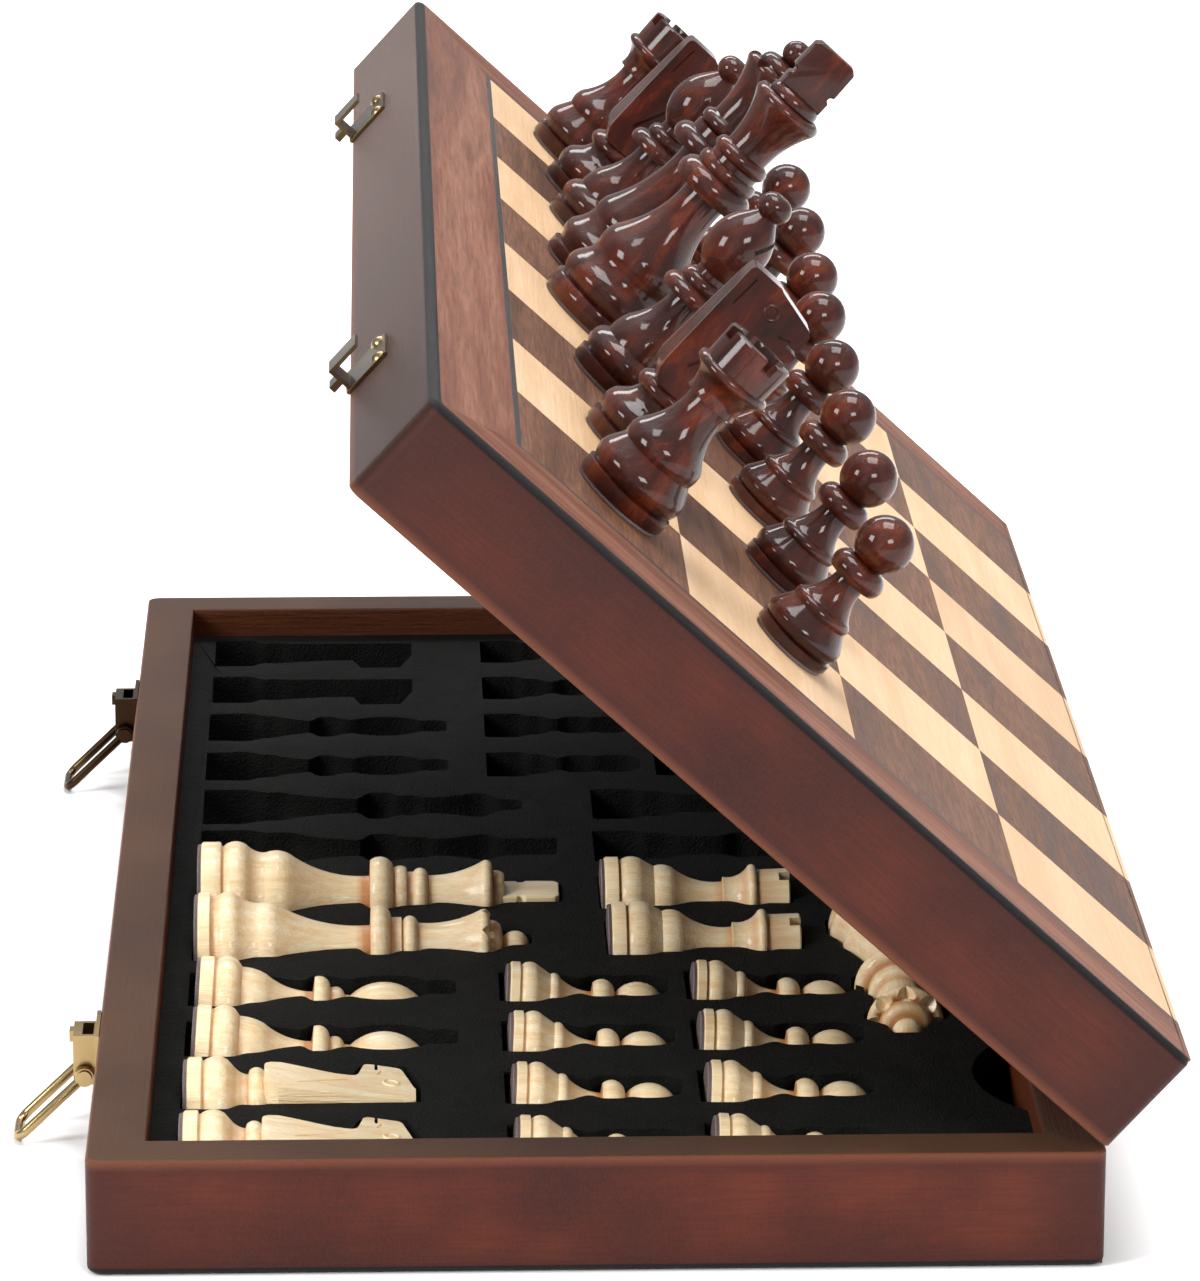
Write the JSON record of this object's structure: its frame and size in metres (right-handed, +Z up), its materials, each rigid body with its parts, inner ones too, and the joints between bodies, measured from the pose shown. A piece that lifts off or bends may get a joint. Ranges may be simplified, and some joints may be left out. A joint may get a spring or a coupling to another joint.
{
  "type": "folding chess set",
  "caption": "Folding wooden chess board box with foam storage, hook latches and magnetic chess pieces.",
  "frame": {"origin": "centre of the lower half's underside, where it rests on the table", "axes": "+X to the hinge side, +Y along the box to its far end, +Z up"},
  "size_m": [0.2228, 0.381, 0.1969],
  "materials": {
    "light_wood": "satin",
    "dark_wood": "gloss",
    "maple": "satin",
    "walnut": "satin",
    "box_wood": "satin",
    "ply": "matte",
    "steel": "satin",
    "foam": "matte",
    "lining": "matte",
    "screw_brass": "satin",
    "latch_brass": "satin"
  },
  "bodies": {
    "tray": {"foam_insert": "foam", "hinge_pins": "screw_brass", "latch_bodies": "latch_brass", "tray_border": "walnut", "tray_dark_squares": "walnut", "tray_hinge_leaves": "latch_brass", "tray_light_squares": "maple", "tray_long_rails": "box_wood", "tray_panel": "ply", "tray_screws": "screw_brass", "tray_short_rails": "box_wood", "tray_steel_sheet": "steel"},
    "lid": {"latch_keepers": "latch_brass", "lid_border": "walnut", "lid_dark_squares": "walnut", "lid_hinge_leaves": "latch_brass", "lid_light_squares": "maple", "lid_lining": "lining", "lid_long_rails": "box_wood", "lid_panel": "ply", "lid_screws": "screw_brass", "lid_short_rails": "box_wood", "lid_steel_sheet": "steel"},
    "loop_near": {"latch_loop_near": "latch_brass"},
    "loop_far": {"latch_loop_far": "latch_brass"},
    "dark_bishop_1_body": {"dark_bishop_1": "dark_wood"},
    "dark_bishop_2_body": {"dark_bishop_2": "dark_wood"},
    "dark_king_body": {"dark_king": "dark_wood"},
    "dark_knight_1_body": {"dark_knight_1": "dark_wood"},
    "dark_knight_2_body": {"dark_knight_2": "dark_wood"},
    "dark_pawn_1_body": {"dark_pawn_1": "dark_wood"},
    "dark_pawn_2_body": {"dark_pawn_2": "dark_wood"},
    "dark_pawn_3_body": {"dark_pawn_3": "dark_wood"},
    "dark_pawn_4_body": {"dark_pawn_4": "dark_wood"},
    "dark_pawn_5_body": {"dark_pawn_5": "dark_wood"},
    "dark_pawn_6_body": {"dark_pawn_6": "dark_wood"},
    "dark_pawn_7_body": {"dark_pawn_7": "dark_wood"},
    "dark_pawn_8_body": {"dark_pawn_8": "dark_wood"},
    "dark_queen_body": {"dark_queen": "dark_wood"},
    "dark_queen_spare_body": {"dark_queen_spare": "dark_wood"},
    "dark_rook_1_body": {"dark_rook_1": "dark_wood"},
    "dark_rook_2_body": {"dark_rook_2": "dark_wood"},
    "light_bishop_1_body": {"light_bishop_1": "light_wood"},
    "light_bishop_2_body": {"light_bishop_2": "light_wood"},
    "light_king_body": {"light_king": "light_wood"},
    "light_knight_1_body": {"light_knight_1": "light_wood"},
    "light_knight_2_body": {"light_knight_2": "light_wood"},
    "light_pawn_1_body": {"light_pawn_1": "light_wood"},
    "light_pawn_2_body": {"light_pawn_2": "light_wood"},
    "light_pawn_3_body": {"light_pawn_3": "light_wood"},
    "light_pawn_4_body": {"light_pawn_4": "light_wood"},
    "light_pawn_5_body": {"light_pawn_5": "light_wood"},
    "light_pawn_6_body": {"light_pawn_6": "light_wood"},
    "light_pawn_7_body": {"light_pawn_7": "light_wood"},
    "light_pawn_8_body": {"light_pawn_8": "light_wood"},
    "light_queen_body": {"light_queen": "light_wood"},
    "light_queen_spare_body": {"light_queen_spare": "light_wood"},
    "light_rook_1_body": {"light_rook_1": "light_wood"},
    "light_rook_2_body": {"light_rook_2": "light_wood"}
  },
  "joints": [
    {"name": "lid_hinge", "type": "hinge", "parent": "tray", "child": "lid", "pos_m": [0.09525, 0, 0.023], "axis": [0, 1, 0], "range_deg": [-42.4, 137.6]},
    {"name": "latch_loop_near_swing", "type": "hinge", "parent": "tray", "child": "loop_near", "pos_m": [-0.09825, -0.114, 0.0139], "axis": [0, 1, 0], "range_deg": [-46, 134]},
    {"name": "latch_loop_far_swing", "type": "hinge", "parent": "tray", "child": "loop_far", "pos_m": [-0.09825, 0.114, 0.0139], "axis": [0, 1, 0], "range_deg": [-46, 134]},
    {"name": "dark_bishop_1_lift", "type": "slide", "parent": "lid", "child": "dark_bishop_1_body", "axis": [0.6743, 0, 0.7385], "range_m": [0, 0.011]},
    {"name": "dark_bishop_2_lift", "type": "slide", "parent": "lid", "child": "dark_bishop_2_body", "axis": [0.6743, 0, 0.7385], "range_m": [0, 0.011]},
    {"name": "dark_king_lift", "type": "slide", "parent": "lid", "child": "dark_king_body", "axis": [0.6743, 0, 0.7385], "range_m": [0, 0.011]},
    {"name": "dark_knight_1_lift", "type": "slide", "parent": "lid", "child": "dark_knight_1_body", "axis": [0.6743, 0, 0.7385], "range_m": [0, 0.011]},
    {"name": "dark_knight_2_lift", "type": "slide", "parent": "lid", "child": "dark_knight_2_body", "axis": [0.6743, 0, 0.7385], "range_m": [0, 0.011]},
    {"name": "dark_pawn_1_lift", "type": "slide", "parent": "lid", "child": "dark_pawn_1_body", "axis": [0.6743, 0, 0.7385], "range_m": [0, 0.011]},
    {"name": "dark_pawn_2_lift", "type": "slide", "parent": "lid", "child": "dark_pawn_2_body", "axis": [0.6743, 0, 0.7385], "range_m": [0, 0.011]},
    {"name": "dark_pawn_3_lift", "type": "slide", "parent": "lid", "child": "dark_pawn_3_body", "axis": [0.6743, 0, 0.7385], "range_m": [0, 0.011]},
    {"name": "dark_pawn_4_lift", "type": "slide", "parent": "lid", "child": "dark_pawn_4_body", "axis": [0.6743, 0, 0.7385], "range_m": [0, 0.011]},
    {"name": "dark_pawn_5_lift", "type": "slide", "parent": "lid", "child": "dark_pawn_5_body", "axis": [0.6743, 0, 0.7385], "range_m": [0, 0.011]},
    {"name": "dark_pawn_6_lift", "type": "slide", "parent": "lid", "child": "dark_pawn_6_body", "axis": [0.6743, 0, 0.7385], "range_m": [0, 0.011]},
    {"name": "dark_pawn_7_lift", "type": "slide", "parent": "lid", "child": "dark_pawn_7_body", "axis": [0.6743, 0, 0.7385], "range_m": [0, 0.011]},
    {"name": "dark_pawn_8_lift", "type": "slide", "parent": "lid", "child": "dark_pawn_8_body", "axis": [0.6743, 0, 0.7385], "range_m": [0, 0.011]},
    {"name": "dark_queen_lift", "type": "slide", "parent": "lid", "child": "dark_queen_body", "axis": [0.6743, 0, 0.7385], "range_m": [0, 0.011]},
    {"name": "dark_queen_spare_lift", "type": "slide", "parent": "tray", "child": "dark_queen_spare_body", "axis": [0, 0, 1], "range_m": [0, 0.011]},
    {"name": "dark_rook_1_lift", "type": "slide", "parent": "lid", "child": "dark_rook_1_body", "axis": [0.6743, 0, 0.7385], "range_m": [0, 0.011]},
    {"name": "dark_rook_2_lift", "type": "slide", "parent": "lid", "child": "dark_rook_2_body", "axis": [0.6743, 0, 0.7385], "range_m": [0, 0.011]},
    {"name": "light_bishop_1_lift", "type": "slide", "parent": "tray", "child": "light_bishop_1_body", "axis": [0, 0, 1], "range_m": [0, 0.011]},
    {"name": "light_bishop_2_lift", "type": "slide", "parent": "tray", "child": "light_bishop_2_body", "axis": [0, 0, 1], "range_m": [0, 0.011]},
    {"name": "light_king_lift", "type": "slide", "parent": "tray", "child": "light_king_body", "axis": [0, 0, 1], "range_m": [0, 0.011]},
    {"name": "light_knight_1_lift", "type": "slide", "parent": "tray", "child": "light_knight_1_body", "axis": [0, 0, 1], "range_m": [0, 0.011]},
    {"name": "light_knight_2_lift", "type": "slide", "parent": "tray", "child": "light_knight_2_body", "axis": [0, 0, 1], "range_m": [0, 0.011]},
    {"name": "light_pawn_1_lift", "type": "slide", "parent": "tray", "child": "light_pawn_1_body", "axis": [0, 0, 1], "range_m": [0, 0.011]},
    {"name": "light_pawn_2_lift", "type": "slide", "parent": "tray", "child": "light_pawn_2_body", "axis": [0, 0, 1], "range_m": [0, 0.011]},
    {"name": "light_pawn_3_lift", "type": "slide", "parent": "tray", "child": "light_pawn_3_body", "axis": [0, 0, 1], "range_m": [0, 0.011]},
    {"name": "light_pawn_4_lift", "type": "slide", "parent": "tray", "child": "light_pawn_4_body", "axis": [0, 0, 1], "range_m": [0, 0.011]},
    {"name": "light_pawn_5_lift", "type": "slide", "parent": "tray", "child": "light_pawn_5_body", "axis": [0, 0, 1], "range_m": [0, 0.011]},
    {"name": "light_pawn_6_lift", "type": "slide", "parent": "tray", "child": "light_pawn_6_body", "axis": [0, 0, 1], "range_m": [0, 0.011]},
    {"name": "light_pawn_7_lift", "type": "slide", "parent": "tray", "child": "light_pawn_7_body", "axis": [0, 0, 1], "range_m": [0, 0.011]},
    {"name": "light_pawn_8_lift", "type": "slide", "parent": "tray", "child": "light_pawn_8_body", "axis": [0, 0, 1], "range_m": [0, 0.011]},
    {"name": "light_queen_lift", "type": "slide", "parent": "tray", "child": "light_queen_body", "axis": [0, 0, 1], "range_m": [0, 0.011]},
    {"name": "light_queen_spare_lift", "type": "slide", "parent": "tray", "child": "light_queen_spare_body", "axis": [0, 0, 1], "range_m": [0, 0.011]},
    {"name": "light_rook_1_lift", "type": "slide", "parent": "tray", "child": "light_rook_1_body", "axis": [0, 0, 1], "range_m": [0, 0.011]},
    {"name": "light_rook_2_lift", "type": "slide", "parent": "tray", "child": "light_rook_2_body", "axis": [0, 0, 1], "range_m": [0, 0.011]}
  ]
}
